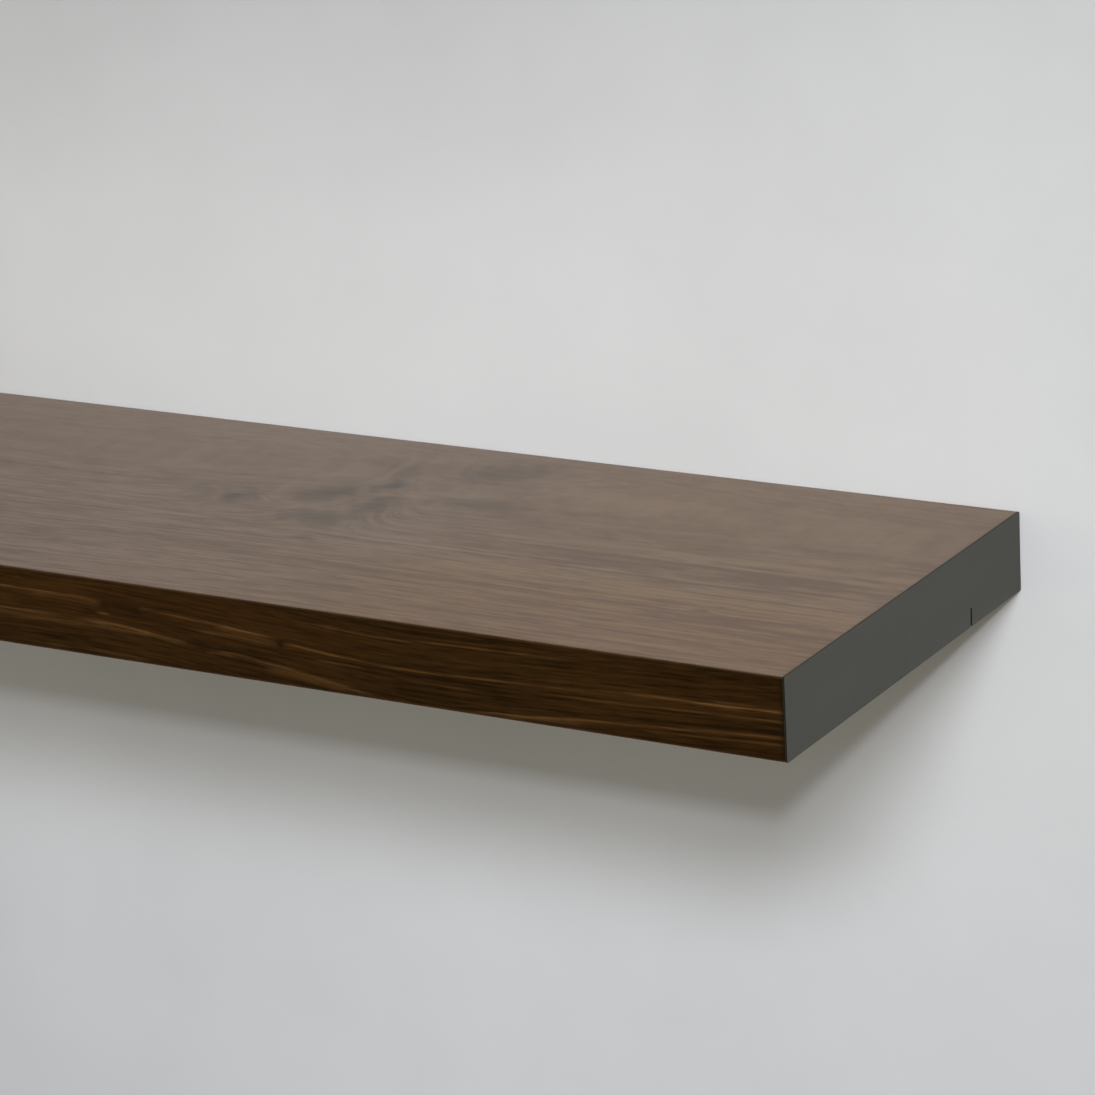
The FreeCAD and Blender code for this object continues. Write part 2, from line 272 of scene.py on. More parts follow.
def planed_pine(name, across, heart_mm):
    """Pine in the round: its growth rings are circles about a heart line that runs along the grain, and
    they wander a little. across is 1 for the two directions that cross the grain and 0 along it."""
    pine, tree, shader = new_finish(name, {"Specular IOR Level": 0.3})
    heart = [-place * MM * on for place, on in zip(heart_mm, across)]
    wander = speckle(tree, [6.0 + 24.0 * on for on in across], 2)
    spot = place_on(tree, across, heart)
    from_heart = add(tree, "VectorMath", {0: spot}, operation="LENGTH").outputs[1]
    radius = reckon(tree, "ADD", from_heart, spread(tree, wander, 0, 1, -4 * MM, 4 * MM))
    ring_at = reckon(tree, "MULTIPLY", radius, PINE_RINGS_PER_METRE)
    rings = add(tree, "TexNoise", {"W": ring_at, "Scale": 1, "Detail": 2},
                noise_dimensions="1D").outputs[0]
    fibre = speckle(tree, [10.0 + 1500.0 * on for on in across], 3)
    late = spread(tree, rings, 0.47, 0.68, 0, 0.85)
    wood = blend_colours(tree, late, PINE_EARLY, PINE_LATE)
    shade = spread(tree, speckle(tree, (14, 14, 14), 4), 0.5, 0.8, 0, 0.6)
    wood = blend_colours(tree, shade, wood, PINE_GREYED)
    wood = blend_colours(tree, spread(tree, fibre, 0.3, 0.75, 0, 0.35), wood, PINE_LATE)
    tint(tree, shader, wood, spread(tree, fibre, 0, 1, 0.62, 0.82))
    emboss(tree, shader, reckon(tree, "ADD", fibre, late), 0.06 * MM)
    return pine


ALONG_X = (0, 1, 1)
ALONG_Y = (1, 0, 1)
frame_stock = {  # the piece, the directions across its grain, and where its heart lies
    "front_rail": (ALONG_X, (0, -260, -35)),
    "end_rail_left": (ALONG_Y, (-430, 0, 30)),
    "end_rail_right": (ALONG_Y, (420, 0, -45)),
    "rear_rail_outer_left": (ALONG_X, (0, -70, 25)),
    "rear_rail_inner_left": (ALONG_X, (0, -5, -60)),
    "rear_rail_inner_right": (ALONG_X, (0, 35, 18)),
    "rear_rail_outer_right": (ALONG_X, (0, -90, -30)),
    "guide_block_left": (ALONG_Y, (-283, 0, -38)),
    "guide_block_centre": (ALONG_Y, (22, 0, 30)),
    "guide_block_right": (ALONG_Y, (262, 0, -52)),
}
for name, (across, heart_mm) in frame_stock.items():
    dress(nodes[name], planed_pine("Pine of " + name, across, heart_mm))


# Paper core -------------------------------------------------------------------------------------------
# Strips of brown kraft paper, folded and glued into a honeycomb that is pulled open to fill each hollow
# and props the thin skins apart.

KRAFT = (0.40, 0.27, 0.155, 1)
KRAFT_FIBRE = (0.27, 0.17, 0.09, 1)


def kraft_paper(name):
    """Brown paper with a felt of short fibres and cloudy thickness."""
    paper, tree, shader = new_finish(name, {"Specular IOR Level": 0.15})
    felt = speckle(tree, (900, 900, 1400), 5, 0.75)
    clouds = speckle(tree, (120, 120, 120), 3)
    colour = blend_colours(tree, spread(tree, felt, 0.35, 0.7, 0, 1), KRAFT, KRAFT_FIBRE)
    tint(tree, shader, colour, spread(tree, clouds, 0.2, 0.8, 0.75, 0.95))
    emboss(tree, shader, felt, 0.05 * MM)
    return paper


kraft = kraft_paper("Kraft paper")
for bay in ("outer_left", "inner_left", "inner_right", "outer_right"):
    dress(nodes["paper_core_" + bay], kraft)


# Bottom skin ------------------------------------------------------------------------------------------
# A 5 mm softwood board, stained dark and lacquered satin, mitred where it meets the front. It is glued
# under the frame, and drilled for the two inserts of the locking screws.

TOP_PLAIN = (0.095, 0.046, 0.0135, 1), (0.180, 0.1127, 0.0685, 1)  # its deepest and palest wood
TOP_WARM = (0.093, 0.035, 0.0070, 1), (0.178, 0.100, 0.0353, 1)
TOP_KNOT = (0.030, 0.016, 0.0030, 1)
TOP_GLOSS = 0.5
TOP_LINES_PER_MM = 0.24
EDGE_RUBBED = (0.072, 0.040, 0.0210, 1)
# How far each layer of the figure moves the wood between its deepest and its palest colour.
RINGS_SHOW, EVEN_RINGS_SHOW, LINES_SHOW, FLECKS_SHOW = 0.18, 0.09, 0.34, 0.22
SWAY_SHOWS, FIBRE_SHOWS, CLOUDS_SHOW, PORES_SHOW = 0.45, 0.20, 0.14, 0.35


def kept(tree, name):
    """A number that the piece's mesh keeps for each of its points."""
    return add(tree, "Attribute", {}, attribute_name=name).outputs["Fac"]


def swing(tree, noise, amount):
    """Noise about one half, carried to run from minus the amount to plus the amount."""
    return spread(tree, noise, 0.30, 0.70, -amount, amount)


def grain_cloud(tree, grown, along_per_metre, across_per_mm, detail=3.0):
    """Noise drawn out along X, whose lines lie at the same growth, so that they follow the rings."""
    along = add(tree, "SeparateXYZ", {0: place_on(tree, (along_per_metre,) * 3)}).outputs["X"]
    across = reckon(tree, "MULTIPLY", grown, across_per_mm)
    where = add(tree, "CombineXYZ", {"X": along, "Y": across}).outputs[0]
    return add(tree, "TexNoise", {"Vector": where, "Scale": 1, "Detail": detail, "Roughness": 0.6},
               noise_dimensions="2D").outputs[0]


def stained_wood(name, growth_mm, plain, warm, knot, gloss, lines_per_mm, kept_names=()):
    """Stained softwood under satin lacquer. growth_mm(tree) gives the distance grown from the heart.
    Noise of it alone makes uneven rings, a sine of it even ones, and noise of it and X broken lines.
    Fine fibres and pores run along X. plain and warm are pairs of colours, deepest and palest, and
    kept_names are those of the mesh's numbers that the finish heeds."""
    wood, tree, shader = new_finish(name, {"Specular IOR Level": gloss})
    sway = spread(tree, speckle(tree, (14, 90, 90), 3), 0, 1, -0.9, 0.9)
    grown = reckon(tree, "ADD", growth_mm(tree), sway)
    ring_at = reckon(tree, "MULTIPLY", grown, lines_per_mm)
    rings = add(tree, "TexNoise", {"W": ring_at, "Scale": 1, "Detail": 3, "Roughness": 0.6},
                noise_dimensions="1D").outputs[0]
    turns = reckon(tree, "ADD", reckon(tree, "MULTIPLY", grown, 2 * math.pi * lines_per_mm),
                   reckon(tree, "MULTIPLY", rings, 5))
    even = reckon(tree, "MULTIPLY", reckon(tree, "SINE", turns), EVEN_RINGS_SHOW)
    lines = grain_cloud(tree, grown, 22, lines_per_mm)
    flecks = grain_cloud(tree, grown, 70, 1.6 * lines_per_mm)
    fibre = speckle(tree, (26, 850, 850), 4, 0.65)
    clouds = speckle(tree, (6, 26, 26), 3, shift=(3.1, 0, 0))
    pores = spread(tree, speckle(tree, (55, 1300, 1300), 2), 0.64, 0.76, 0, 1)
    figure = reckon(tree, "ADD", swing(tree, rings, RINGS_SHOW), swing(tree, lines, LINES_SHOW))
    figure = reckon(tree, "ADD", figure, even)
    if "figure" in kept_names:
        figure = reckon(tree, "MULTIPLY", figure, kept(tree, "figure"))
    figure = reckon(tree, "ADD", figure, swing(tree, flecks, FLECKS_SHOW))
    figure = reckon(tree, "ADD", figure, reckon(tree, "MULTIPLY", sway, SWAY_SHOWS))
    tone = reckon(tree, "ADD", figure, swing(tree, fibre, FIBRE_SHOWS))
    about_middle = spread(tree, clouds, 0.32, 0.68, 0.5 - CLOUDS_SHOW, 0.5 + CLOUDS_SHOW)
    tone = reckon(tree, "ADD", tone, about_middle)
    if "marks" in kept_names:
        tone = reckon(tree, "ADD", tone, kept(tree, "marks"))
    tone = spread(tree, tone, 0, 1, 0, 1)
    warmth = kept(tree, "warmth") if "warmth" in kept_names else spread(tree, clouds, 0.45, 0.70, 0, 1)
    plain_wood = blend_colours(tree, tone, *plain)
    colour = blend_colours(tree, warmth, plain_wood, blend_colours(tree, tone, *warm))
    if "streak" in kept_names:
        broken = spread(tree, grain_cloud(tree, grown, 45, 1.1), 0.34, 0.62, 0.30, 1.15)
        amber = reckon(tree, "MULTIPLY", kept(tree, "streak"), broken)
        colour = blend_colours(tree, amber, colour, FRONT_STREAK)
    colour = blend_colours(tree, reckon(tree, "MULTIPLY", pores, PORES_SHOW), colour, plain[0])
    if "knots" in kept_names:
        colour = blend_colours(tree, kept(tree, "knots"), colour, knot)
    if "rubbed" in kept_names:
        patchy = spread(tree, grain_cloud(tree, grown, 120, 0.6), 0.40, 0.66, 0.55, 1.0)
        worn = reckon(tree, "MULTIPLY", kept(tree, "rubbed"), patchy)
        colour = blend_colours(tree, worn, colour, EDGE_RUBBED)
    tint(tree, shader, colour, spread(tree, fibre, 0.2, 0.8, 0.30, 0.40))
    emboss(tree, shader, reckon(tree, "SUBTRACT", fibre, pores), 0.035 * MM)
    return wood


def growth_round(heart_mm):
    """Growth as the distance in millimetres from a heart line along X that wanders a little."""
    def growth(tree):
        """That distance in the nodes of one finish."""
        heart = place_on(tree, ALONG_X, [-place * MM * on for place, on in zip(heart_mm, ALONG_X)])
        straight = add(tree, "VectorMath", {0: heart}, operation="LENGTH").outputs[1]
        wander = spread(tree, speckle(tree, (4, 9, 9), 1), 0.2, 0.8, -16, 16)
        return reckon(tree, "ADD", reckon(tree, "MULTIPLY", straight, 1000), wander)
    return growth


bottom_wood = stained_wood(
    "Stained bottom board", growth_round((0, -150, 42)), TOP_PLAIN, TOP_WARM, TOP_KNOT, TOP_GLOSS,
    TOP_LINES_PER_MM,
)
dress(nodes["bottom_panel"], bottom_wood)


# Top skin ---------------------------------------------------------------------------------------------
# The same board laid over the frame, with its front edge mitred and eased. A whorl of small knots lies
# right of the middle, with broad blurred figure behind it and close straight grain in front of it.

HALF_BOARD_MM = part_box("top_panel")[1].x / MM
BOARD_REAR_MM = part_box("top_panel")[1].y / MM
BOARD_FRONT_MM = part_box("front_panel")[0].y / MM
BOARD_TOP_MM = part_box("top_panel")[1].z / MM
SKIN_MM = BOARD_TOP_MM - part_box("front_rail")[1].z / MM
ARRIS_MM = 0.6
END_EASE_MM = 0.35
END_STEPS_MM = (0.0, 0.04, 0.10, 0.18, 0.26, 0.35, 0.6, 1.0, 1.5, 2.2, 3.2)
RIM_POWER = 2.6  # a soft patch falls away with this power of the distance
RINGS_REACH, RINGS_RISE = 1.5, 2.2  # how far round a knot the rings rise, and by how much of its width
CORNER_MM = 8
FADE_SHARE, FADE_MM = 0.10, 2.0
TOP_RIB_PITCH_MM = 3.3
TOP_RUBBED_MM = 1.1
TOP_KNOTS = (  # x, y, half length, half width, turn in degrees, how dark
    (40, -107, 12, 11, 0, 0.50),
    (37, -110, 6, 4, 60, 0.55),
    (15, -104, 11, 6, 0, 0.42),
    (78, -89, 18, 10, 32, 0.64),
    (84, -84, 7, 5, 40, 0.30),
    (102, -68, 8.5, 5, 58, 0.90),
    (76, -99, 3, 1.8, 0, 0.50),
    (110, -86, 3.5, 3, 50, 0.45),
    (98, -50, 7, 13, 8, 0.42),
    (111, -98, 9, 12, -12, 0.76),
    (94, -123, 20, 9, 4, 0.68),
    (142, -34, 26, 14, 34, 0.53),
    (158, -80, 26, 6, 8, 0.54),
    (104, -151, 6, 4, 0, 0.34),
    (8, -177, 10, 3, 0, 0.32),
    (-5, -198, 4, 5, 0, 0.30),
    (92, -182, 16, 2, 0, 0.30),
    (328, -175, 4, 2.4, 0, 0.55),
    (381, -176, 10, 1.6, 0, 0.42),
    (308, -184, 13, 1.6, 0, 0.42),
    (318, -191, 12, 1.4, 0, 0.40),
    (-268, -164, 14, 10, 20, 0.62),
    (-252, -150, 7, 6, 0, 0.50),
)
TOP_PALE_PATCHES = (  # the same, for the pale wood that flows between the knots, and how pale
    (54, -95, 3, 15, 8, 0.54),
    (72, -115, 7, 3, 40, 0.48),
    (107, -54, 3, 9, -8, 0.42),
    (92, -74, 2.5, 9, -14, 0.48),
    (104, -80, 5, 3, -30, 0.42),
    (121, -80, 8, 4, -20, 0.54),
    (140, -71, 20, 3.5, 12, 0.46),
    (100, -26, 7, 5, 0, 0.26),
    (178, -34, 14, 10, 0, 0.30),
    (210, -52, 40, 14, 0, 0.14),
    (70, -62, 16, 6, 14, 0.16),
    (290, -40, 100, 38, 0, 0.14),
)
TOP_MARKS = (  # points (x, y) along the mark, its half width, and how much lighter or darker it is
    (((-400, -114), (-100, -117), (-40, -119), (20, -121)), 2.0, 0.24),
    (((-400, -134), (-60, -140), (0, -141), (66, -143)), 2.5, 0.26),
    (((-50, -153), (0, -154), (44, -151)), 1.8, 0.20),
    (((98, -141), (160, -140), (214, -139)), 2.0, 0.22),
    (((180, -114), (230, -112), (300, -111), (400, -110)), 2.2, 0.36),
    (((262, -119), (330, -120), (400, -116)), 1.4, 0.26),
    (((160, -136), (300, -134), (400, -129)), 11.0, -0.42),
    (((112, -154), (200, -156), (300, -160), (400, -163)), 12.0, 0.27),
    (((84, -182), (200, -181), (300, -184), (400, -190)), 2.6, -0.36),
    (((-400, -186), (-200, -184), (-40, -188)), 3.0, -0.26),
    (((-24, -192), (60, -191), (150, -190)), 1.6, 0.20),
    (((-24, -205), (60, -204), (136, -204)), 1.5, 0.26),
    (((-24, -212), (40, -212), (110, -210)), 1.3, 0.20),
)


def easing(distance):
    """How far a quarter-round edge has sunk, at a distance in from it."""
    short = np.clip(1 - distance / END_EASE_MM, 0, 1)
    return END_EASE_MM * (1 - np.sqrt(1 - short**2))


def stations_along(spacing, close_spacing, close_from, close_to):
    """Places along the board, closer between two of them and closest at the board's two ends."""
    ends = HALF_BOARD_MM - np.array(END_STEPS_MM)
    close = np.arange(close_from, close_to, close_spacing)
    before = np.linspace(-ends[-1], close_from, int((close_from + ends[-1]) / spacing) + 1)[1:-1]
    after = np.linspace(close_to, ends[-1], int((ends[-1] - close_to) / spacing) + 1)[:-1]
    return np.concatenate([-ends, before, close, after, ends[::-1]])


def soft_marks(x, across, marks):
    """The sum of the marks. Each follows the line through its points, rounded at its corners, and falls
    away from it as a bell curve of its half width. It fades out at its ends, unless it runs to the end
    of the board."""
    total = np.zeros(np.broadcast(x, across).shape)
    for points, half_width, strength in marks:
        along, line = np.array(points, float).T
        middle = (np.interp(x - CORNER_MM, along, line) + np.interp(x + CORNER_MM, along, line)) / 2
        fade = FADE_SHARE * (along[-1] - along[0]) + FADE_MM
        fade_in = 1.0 if along[0] < -HALF_BOARD_MM else np.clip((x - along[0]) / fade, 0, 1)
        fade_out = 1.0 if along[-1] > HALF_BOARD_MM else np.clip((along[-1] - x) / fade, 0, 1)
        bell = np.exp(-(((across - middle) / half_width) ** 2))
        total += strength * fade_in * fade_out * bell
    return total


def soft_patches(x, across, patches, most=1.0):
    """The patches laid over one another: each is an ellipse, turned about its middle, with a flat heart
    and a soft ragged rim. Their shares add up, to no more than the most."""
    ragged = 0.16 * np.sin(x / 2.3 + across / 3.1) + 0.13 * np.sin(across / 1.7 - x / 4.1 + 1)
    total = np.zeros(np.broadcast(x, across).shape)
    for place, line, half_length, half_width, degrees, strength in patches:
        turn = math.radians(degrees)
        ahead = (x - place) * math.cos(turn) + (across - line) * math.sin(turn)
        aside = (across - line) * math.cos(turn) - (x - place) * math.sin(turn)
        away = np.hypot(ahead / half_length, aside / half_width) * (1 + ragged)
        total += strength * np.exp(-(away**RIM_POWER))
    return np.minimum(total, most)


def ring_lift(x, across, knots):
    """How far the rings rise over each knot: a bell curve that is wider than the knot by its reach."""
    lift = np.zeros(np.broadcast(x, across).shape)
    for place, line, half_length, half_width, _, strength in knots:
        away = np.hypot((x - place) / half_length, (across - line) / half_width) / RINGS_REACH
        lift += RINGS_RISE * strength * half_width * np.exp(-(away**2))
    return lift


def top_growth(x, y, z):
    """Growth as the distance from a heart line under the rear half, which sways and dips along X."""
    heart_y = -58 + 4 * np.sin(x / 150 + 0.5) + 2 * np.sin(x / 61)
    heart_z = -42 + 6 * np.sin(x / 190 + 2.2) + 2 * np.sin(x / 83 + 1)
    return np.hypot(y - heart_y, z - heart_z)


def keep(mesh, name, values):
    """Has the mesh keep one number for each of its points, for its finish to read."""
    mesh.attributes.new(name, "FLOAT", "POINT").data.foreach_set("value", values.ravel())


def step(value, middle, half_width):
    """A smooth step from 0 to 1 about the middle, by the hyperbolic tangent."""
    return 0.5 + 0.5 * np.tanh((value - middle) / half_width)


def soaked_ends_and_joint_shade(x, wide, narrow):
    """How dark the wood is at each end, a broad and a fine bell curve: partly stain soaked into the end
    grain, partly painted shade of the joint with the cap.
    """
    inwards = HALF_BOARD_MM - np.abs(x)
    return wide * np.exp(-((inwards / 2.2) ** 2)) + narrow * np.exp(-((inwards / 0.5) ** 2))


def growth_kept(tree):
    """Growth in millimetres as the mesh keeps it."""
    return kept(tree, "growth")


def eased_skin(name, face, facing, inside, stations, relief):
    """A skin: its outer face and then its inside as one closed outline, carried along X. Each point of
    the face sinks against its facing by the relief there and by the easing of the two ends."""
    x = stations[:, None]
    sink = relief(x, face[None, :, 0], face[None, :, 1]) + easing(HALF_BOARD_MM - np.abs(x))
    outer = face[None] - facing[None] * sink[..., None]
    inner = np.broadcast_to(inside[None], (len(x), *inside.shape))
    outline = np.concatenate([outer, inner], axis=1)
    across = np.broadcast_to(x, outline.shape[:2])
    points = np.stack([across, outline[..., 0], outline[..., 1]], axis=-1)
    return mesh_of_outlines(name, points * MM), points


def eased_arris(first, last, number):
    """Points round the front top edge and the way they face, between two angles up from forward."""
    turn = np.radians(np.linspace(first, last, number))
    facing = np.stack([-np.cos(turn), np.sin(turn)], axis=-1)
    middle = np.array([BOARD_FRONT_MM + ARRIS_MM, BOARD_TOP_MM - ARRIS_MM])
    return middle + ARRIS_MM * facing, facing


def top_relief(x, y, z):
    """The board's slow waves and the fine ribs of its late wood, a few hundredths of a millimetre."""
    waves = 0.05 + 0.025 * np.sin(x / 47 + 1) * np.sin(y / 29) + 0.02 * np.sin(x / 111 + y / 63)
    ribs = 0.012 * (1 + np.sin(2 * math.pi * top_growth(x, y, z) / TOP_RIB_PITCH_MM))
    return waves + ribs


flat_y = np.linspace(BOARD_REAR_MM, BOARD_FRONT_MM + ARRIS_MM, 296)[:-1]
flat = np.stack([flat_y, np.full_like(flat_y, BOARD_TOP_MM)], axis=-1)
round_part, round_facing = eased_arris(first=90, last=45, number=8)
top_face = np.concatenate([flat, round_part])
top_facing = np.concatenate([np.tile([0.0, 1.0], (len(flat), 1)), round_facing])
top_inside = np.array([
    (BOARD_FRONT_MM + SKIN_MM, BOARD_TOP_MM - SKIN_MM),
    (BOARD_REAR_MM, BOARD_TOP_MM - SKIN_MM),
])
top_stations = stations_along(spacing=6.0, close_spacing=2.5, close_from=-10.0, close_to=200.0)
top_mesh, top_points = eased_skin(
    "top_board", top_face, top_facing, top_inside, top_stations, top_relief
)
x, y, z = np.moveaxis(top_points, -1, 0)
warm_front = step(-y, 156, 9) * step(x, 110, 70)
figured_front = step(-y, 98 - 10 * np.sin(x / 70 + 2.0), 14)
# Painted sheen: the top is made paler towards the wall, for the wall's reflection in the satin lacquer.
painted_sheen_rear = 0.16 * step(y, -22, 8) + 0.05 * step(y, -80, 12)
pale_flow = soft_patches(x, y, TOP_PALE_PATCHES)
keep(top_mesh, "growth", top_growth(x, y, z) + ring_lift(x, y, TOP_KNOTS))
keep(top_mesh, "figure", 0.30 + 0.70 * figured_front + 0.22 * step(x, 190, 60))
# The knots' share also darkens the ends: partly stain in the end grain, partly painted shade of the
# joint with the cap.
keep(top_mesh, "knots", soft_patches(x, y, TOP_KNOTS, 0.9) + soaked_ends_and_joint_shade(x, 0.16, 0.45))
# The marks also carry the painted sheen along the rear.
keep(top_mesh, "marks", soft_marks(x, y, TOP_MARKS) + pale_flow + painted_sheen_rear)
keep(top_mesh, "warmth", 0.45 * step(x, 168, 30) + 0.55 * warm_front)
keep(top_mesh, "rubbed", np.exp(-(((y - BOARD_FRONT_MM) / TOP_RUBBED_MM) ** 2)))
top_wood = stained_wood(
    "Stained top board", growth_kept, TOP_PLAIN, TOP_WARM, TOP_KNOT, TOP_GLOSS, TOP_LINES_PER_MM,
    ("figure", "knots", "marks", "warmth", "rubbed"),
)
fit("top_board", top_mesh, top_wood, "shelf", "stained_wood", "top_panel")


# Front skin -------------------------------------------------------------------------------------------
# A narrow strip of the same board with both long edges mitred. It took the stain darkest, and its hard
# late wood shows as long amber streaks that bend round two knots.

FRONT_PLAIN = (0.0100, 0.0040, 0.0002, 1), (0.0370, 0.0158, 0.0028, 1)
FRONT_WARM = (0.0110, 0.0038, 0.0002, 1), (0.0390, 0.0150, 0.0022, 1)
FRONT_KNOT = (0.0070, 0.0036, 0.0004, 1)
FRONT_STREAK = (0.100, 0.0465, 0.0135, 1)
FRONT_GLOSS = 0.12
FRONT_LINES_PER_MM = 0.55
FRONT_RIB_PITCH_MM = 2.9
FRONT_RUBBED_MM = 0.75
FRONT_SWAY = (  # x and how far the grain has risen there
    (-400, 4), (-300, 6), (-200, 3), (-100, 1), (-8, 0), (50, 0), (100, -4), (150, -8),
    (190, -11), (240, -12), (300, -9.5), (350, -7.5), (400, -5),
)
FRONT_KNOTS = (  # x, z, half length, half width, turn in degrees, how dark
    (62, 6.5, 10, 3.0, -8, 0.42),
    (52, 6.2, 3, 1.6, -20, 0.40),
    (71, 5.2, 3, 1.8, -30, 0.40),
    (44, 2.0, 5, 0.9, 8, 0.50),
    (106, -5.0, 6, 1.5, -4, 0.60),
    (118, -4.6, 7, 1.0, -4, 0.34),
    (148, 0.6, 0.9, 2.6, 8, 0.70),
    (-214, -3, 7, 3.2, 0, 0.55),
)
FRONT_STREAKS = (  # points (x, z) along the streak, its half width, and how amber it is
    (((-120, 9.9), (-60, 9.6), (0, 9.2), (30, 9.0), (51, 8.4)), 0.55, 0.70),
    (((8, 8.2), (30, 7.8), (52, 7.0)), 1.3, 0.38),
    (((-90, -1.8), (-8, -1.8), (10, -1.3), (31, -1.7)), 0.60, 0.88),
    (((-120, -3.6), (-8, -4.0), (20, -4.2), (50, -4.0)), 1.20, 0.42),
    (((33, -2.4), (50, -1.6), (60, -2.1), (75, -3.7), (85, -5.0), (98, -6.4)), 0.95, 0.80),
    (((44, -3.6), (60, -3.8), (78, -5.0)), 1.3, 0.40),
    (((69, 8.2), (80, 7.3), (95, 6.3), (110, 5.3), (128, 4.2), (147, 2.2)), 0.60, 0.60),
    (((112, 4.4), (130, 3.2), (147, 1.4)), 1.2, 0.40),
    (((103, 0.9), (116, 0.9), (130, 0.3), (147, -0.6)), 0.70, 0.55),
    (((46, 1.0), (50, 2.5), (55, 4.1)), 0.45, 0.80),
    (((14, -16.8), (30, -16.1), (46, -16.5), (57, -15.7), (66, -16.9), (78, -17.6)), 0.60, 0.36),
    (((106, -8.6), (118, -9.3), (124, -8.0)), 0.80, 0.36),
    (((112, -7.2), (132, -8.8), (150, -11.0), (168, -13.0), (186, -16.1), (198, -17.8)), 0.70, 0.50),
    (((138, -11.6), (152, -13.2), (172, -15.0), (184, -17.0)), 1.30, 0.42),
    (((149, 1.1), (155, 0.7), (163, 0.4), (171, -0.7), (181, -1.9)), 0.55, 0.80),
    (((172, -0.8), (190, -2.3), (205, -2.6), (215, -3.2), (240, -2.4), (275, -1.2), (300, -0.4),
      (320, 1.2)), 0.50, 0.58),
    (((308, 0.2), (325, 1.5), (335, 1.8), (350, 1.9), (368, 2.0), (400, 3.2)), 0.60, 0.80),
    (((355, 1.0), (375, 1.4), (400, 1.8)), 1.60, 0.26),
    (((362, 3.4), (380, 4.0), (400, 4.4)), 0.45, 0.42),
    (((288, -4.4), (300, -4.4), (320, -3.7), (345, -2.7), (400, -1.0)), 0.50, 0.50),
    (((150, 11.9), (165, 12.2), (181, 11.4), (192, 10.5), (206, 10.2), (235, 11.4), (262, 12.0),
      (306, 12.9)), 0.50, 0.48),
    (((156, 11.4), (170, 11.2), (180, 10.8)), 1.10, 0.24),
    (((166, -4.8), (180, -4.8), (192, -4.9)), 0.45, 0.34),
    (((214, -8.0), (230, -8.1), (250, -8.0)), 0.45, 0.28),
    (((240, -18.4), (258, -17.1), (270, -16.0), (295, -14.5), (320, -12.7), (345, -11.7), (366, -9.7),
      (400, -8.2)), 0.60, 0.60),
    (((258, -18.0), (280, -16.4), (304, -15.2)), 1.10, 0.42),
    (((330, -14.6), (350, -13.8), (372, -12.4), (400, -11.4)), 0.50, 0.34),
    (((-400, 12.6), (-300, 14.2), (-240, 12.0), (-150, 10.4), (-100, 9.9)), 0.60, 0.60),
    (((-400, 2.2), (-300, 3.8), (-225, 0.8)), 0.70, 0.70),
    (((-204, -0.6), (-160, 0.2), (-80, -1.6)), 0.70, 0.66),
    (((-360, -7.5), (-280, -6.2), (-190, -9.0), (-90, -10.8)), 0.50, 0.50),
)


def front_growth(x, y, z):
    """Growth as the height above the swaying line of the grain, rising a little inwards."""
    sway_x, sway_z = np.array(FRONT_SWAY, float).T
    sway = sum(np.interp(x + shift, sway_x, sway_z) for shift in (-18, -9, 0, 9, 18)) / 5
    return z - sway + 0.5 * (y - BOARD_FRONT_MM)


def front_relief(x, y, z):
    """Slow waves along the strip, and ribs where the late wood stands out."""
    waves = 0.045 + 0.025 * np.sin(x / 53 + 2) + 0.012 * np.sin(x / 19 + z / 7)
    ribs = 0.012 * (1 + np.sin(2 * math.pi * front_growth(x, y, z) / FRONT_RIB_PITCH_MM))
    return waves + ribs


upper_round, upper_facing = eased_arris(first=45, last=0, number=8)
front_z = np.linspace(BOARD_TOP_MM - ARRIS_MM, ARRIS_MM - BOARD_TOP_MM, 106)[1:-1]
flat = np.stack([np.full_like(front_z, BOARD_FRONT_MM), front_z], axis=-1)
mirrored = np.array([1, -1])
front_face = np.concatenate([upper_round, flat, upper_round[::-1] * mirrored])
front_facing = np.concatenate([
    upper_facing, np.tile([-1.0, 0.0], (len(flat), 1)), upper_facing[::-1] * mirrored,
])
front_inside = np.array([
    (BOARD_FRONT_MM + SKIN_MM, SKIN_MM - BOARD_TOP_MM),
    (BOARD_FRONT_MM + SKIN_MM, BOARD_TOP_MM - SKIN_MM),
])
front_stations = stations_along(spacing=4.0, close_spacing=2.0, close_from=-12.0, close_to=200.0)
front_mesh, front_points = eased_skin(
    "front_board", front_face, front_facing, front_inside, front_stations, front_relief
)
x, y, z = np.moveaxis(front_points, -1, 0)
from_edge = BOARD_TOP_MM - np.abs(z)
dark_beside_edge = 0.25 * np.exp(-(((from_edge - 1.5) / 0.6) ** 2))
darker_right = 0.22 * step(x, 345, 22)
# The knots' share also darkens the ends: partly stain in the end grain, partly painted shade of the
# joint with the cap.
knotted = soft_patches(x, z, FRONT_KNOTS) + soaked_ends_and_joint_shade(x, 0.65, 0.3)
keep(front_mesh, "growth", front_growth(x, y, z) + ring_lift(x, z, FRONT_KNOTS))
keep(front_mesh, "figure", np.full(x.shape, 0.7))
keep(front_mesh, "knots", np.minimum(knotted, 0.95))
keep(front_mesh, "streak", np.minimum(soft_marks(x, z, FRONT_STREAKS), 1.0))
keep(front_mesh, "rubbed", 0.8 * np.exp(-((from_edge / FRONT_RUBBED_MM) ** 2)))
keep(front_mesh, "marks", -dark_beside_edge - darker_right)
front_wood = stained_wood(
    "Stained front board", growth_kept, FRONT_PLAIN, FRONT_WARM, FRONT_KNOT, FRONT_GLOSS,
    FRONT_LINES_PER_MM, ("figure", "knots", "streak", "marks", "rubbed"),
)
fit("front_board", front_mesh, front_wood, "shelf", "stained_wood", "front_panel")


# Lock inserts -----------------------------------------------------------------------------------------
# Brass inserts with a coarse wood thread outside and an M6 thread inside, screwed up into the two outer
# guide blocks until their flanges lie just under the face of the bottom skin.

